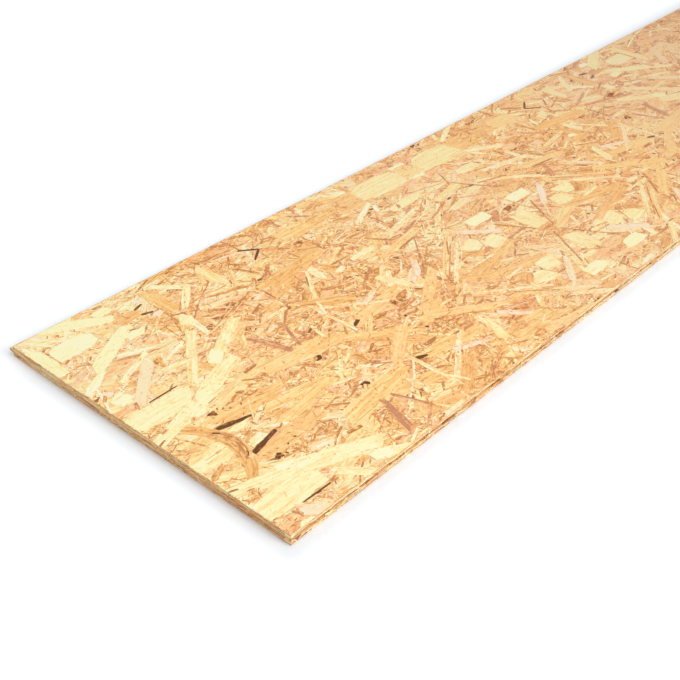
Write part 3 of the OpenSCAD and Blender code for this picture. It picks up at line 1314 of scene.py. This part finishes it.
def layChipsAndShade():
    # larger dark bits on the wall of the lower lip: partly chips, partly painted shade for the shadowed gaps
    # under the lip
    rows = []
    for kind, x, z, length, height in lipChipsAndShade:
        sheetY = z * mm - (boardLow.z + chipsHigh) / 2
        lean = (x * 7) % 11 - 5    # degrees, a different one for each
        rows.append((kind, boardLow.x + x * mm, sheetY, chipRise, length, height, lean, 0.0))
    longEdge("lower_lip_chips", 1, lowerLipEdge, boardLow.z, chipsHigh, dict(setLayer, Material=cutWood),
             wallTones, makeSpots("chip_spots", rows))


def layLips():
    # the walls of both lips, torn bits on them and fibres across the mouth of the groove
    longEdge("upper_lip_edge", 1, grooveEdge, mouthTop, high)
    longEdge("lower_lip_edge", 1, lowerLipEdge, low, mouthBottom)
    upperBits = dict(splinterLayer, Count=500, Highest=0.0)
    longEdge("upper_lip_splinters", 1, grooveEdge, mouthTop, high, upperBits, (-0.15, 0.80))
    lowerBits = dict(splinterLayer, Count=1300)
    longEdge("lower_lip_splinters", 1, lowerLipEdge, boardLow.z, mouthBottom, lowerBits, (-0.55, 0.85))
    lowerFibres = dict(splinterLayer, Count=700, Widest=3.2 * mm, Lowest=-0.6 * mm, Highest=0.3 * mm)
    longEdge("lower_mouth_fibres", 1, lowerLipEdge, mouthBottom - 1 * mm, mouthBottom + overhang["lower"],
             lowerFibres, (-0.30, 1.0))
    upperFibres = dict(lowerFibres, Highest=0.0)
    longEdge("upper_mouth_fibres", 1, grooveEdge, mouthTop - overhang["upper"], mouthTop + 1 * mm,
             upperFibres, (-0.30, 0.95))


def layTongue():
    # both shoulders, the nose of the tongue and its two sloping flanks
    longEdge("upper_shoulder", -1, faceEdge, tongueTop, high)
    longEdge("lower_shoulder", -1, faceEdge, low, tongueBottom)
    longEdge("tongue_nose", -1, boardHigh.y, midHeight - noseHalf + 1 * mm, midHeight + noseHalf - 1 * mm)
    flankMiddle = (tongueTop + midHeight + noseHalf) / 2 - midHeight
    flankCuts = endCuts + between(1, faceEdge - coreBody["sideRecess"], boardHigh.y)
    slope = math.atan(flankRise)
    for name, side, turn in (("tongue_top", 1, -slope), ("tongue_under", -1, math.pi + slope)):
        middle = Vector((0, (faceEdge + boardHigh.y) / 2, midHeight + side * flankMiddle))
        place = Matrix.Translation(middle) @ Matrix.Rotation(turn, 4, "X")
        makeEdge(name, boardLength, milling["tongueLength"], place, flankCuts, flankStrips, (-0.05, 0.70))


sawnEnd("near_end", -1)
sawnEnd("far_end", 1)
layLips()
layChipsAndShade()
layTongue()
print("edges laid")

studio = {
    "skyStrength": 0.37,
    "keyPower": 19.4,              # soft box over the front of the board
    "keyPlace": (-0.8, -0.5, 2.1),
    "keySize": 1.6,
    "suns": [                      # name, strength, height, azimuth it comes from, softness
        ("side", 1.62, 25.0, -76.0, 28.0),
        ("front", 0.32, 22.0, -170.0, 60.0),
    ],
    "floorColour": (0.83, 0.865, 0.90, 1.0),
    "liftFar": 0.65,               # of the floor, seen by the camera only
    "liftTongue": (0.25, 0.16),    # at the board's edge, and how far from it the lift is full
    "liftEnds": (0.05, 0.08),
    "liftTurn": (0.20, 0.32),      # where the lift goes over from the ends' to the tongue's, along Y
    "floorSize": 16.0,
}


def seenDirectly(net):
    # 1 for what the camera, a reflection or a clear pane shows, 0 for light on the object
    rays = net.add("ShaderNodeLightPath").socket.node
    camera = Wire(net, rays.outputs["Is Camera Ray"])
    glossy = Wire(net, rays.outputs["Is Glossy Ray"])
    through = Wire(net, rays.outputs["Is Transmission Ray"])
    return net.calc("MINIMUM", camera + glossy + through, 1.0)


def makeFloor():
    mesh = bpy.data.meshes.new("floor")
    half = studio["floorSize"] / 2
    level = boardLow.z - 0.1 * mm
    mesh.from_pydata([(-half, -half, level), (half, -half, level), (half, half, level), (-half, half, level)],
                     [], [(0, 1, 2, 3)])
    material, net = newMaterial("floor_paper")
    paper = net.add("ShaderNodeBsdfDiffuse", None, {"Color": studio["floorColour"]})
    x, y, z = net.split(net.add("ShaderNodeTexCoord", out=3))
    pastX = net.calc("MAXIMUM", net.calc("ABSOLUTE", x) - boardHigh.x, 0.0)
    pastY = net.calc("MAXIMUM", net.calc("ABSOLUTE", y) - boardHigh.y, 0.0)
    away = net.calc("SQRT", pastX * pastX + pastY * pastY)
    lowTongue, farTongue = studio["liftTongue"]
    lowEnds, farEnds = studio["liftEnds"]
    besideTongue = net.ease(away, 0.0, farTongue, lowTongue, studio["liftFar"])
    besideEnds = net.ease(away, 0.0, farEnds, lowEnds, studio["liftFar"])
    strength = net.mixFloat(net.ease(y, *studio["liftTurn"]), besideEnds, besideTongue)
    lift = net.add("ShaderNodeEmission", None, {"Strength": seenDirectly(net) * strength})
    both = net.add("ShaderNodeAddShader", None, {0: paper, 1: lift})
    net.add("ShaderNodeOutputMaterial", None, {"Surface": both})
    mesh.materials.append(material)
    floor = newObject("floor", mesh)
    floor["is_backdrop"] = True


def makeSky():
    world = bpy.data.worlds.new("sky")
    bpy.context.scene.world = world
    world.use_nodes = True
    tree = world.node_tree
    tree.nodes.clear()
    net = Net(tree)
    strength = net.mixFloat(seenDirectly(net), studio["skyStrength"], 1.0)
    sky = net.add("ShaderNodeBackground", None, {"Color": (1.0, 1.0, 1.0, 1.0), "Strength": strength})
    net.add("ShaderNodeOutputWorld", None, {"Surface": sky})


def addLamp(name, kind, strength):
    light = bpy.data.lights.new(name, kind)
    light.energy = strength
    return newObject(name, light)


def makeLamps():
    key = addLamp("key", "AREA", studio["keyPower"])
    key.data.size = studio["keySize"]
    key.location = studio["keyPlace"]
    aim = Vector((studio["keyPlace"][0], 0, boardHigh.z)) - key.location
    key.rotation_euler = aim.to_track_quat("-Z", "Y").to_euler()
    for name, strength, height, azimuth, softness in studio["suns"]:
        sun = addLamp(name, "SUN", strength)
        sun.data.angle = math.radians(softness)
        sun.rotation_euler = (math.radians(90 - height), 0, math.radians(azimuth + 90))


view = {
    "lens": 58.0,
    "sensor": 36.0,
    "place": (-1.8671, -0.9859, 0.9873),
    "downward": 35.301,            # degrees below level
    "heading": 42.198,             # degrees from +X towards +Y
}


def makeCamera():
    settings = bpy.data.cameras.new("camera")
    settings.lens = view["lens"]
    settings.sensor_width = view["sensor"]
    settings.clip_end = 50
    camera = newObject("camera", settings)
    camera.location = view["place"]
    camera.rotation_euler = (math.radians(90 - view["downward"]), 0, math.radians(view["heading"] - 90))
    bpy.context.scene.camera = camera


makeFloor()
makeSky()
makeLamps()
makeCamera()
bpy.context.scene.view_settings.view_transform = "Standard"
print("studio ready")


def plain(bounds):
    return [[float(value) for value in corner] for corner in bounds]


{"cad": plain(cadBounds), "visual": plain(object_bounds())}
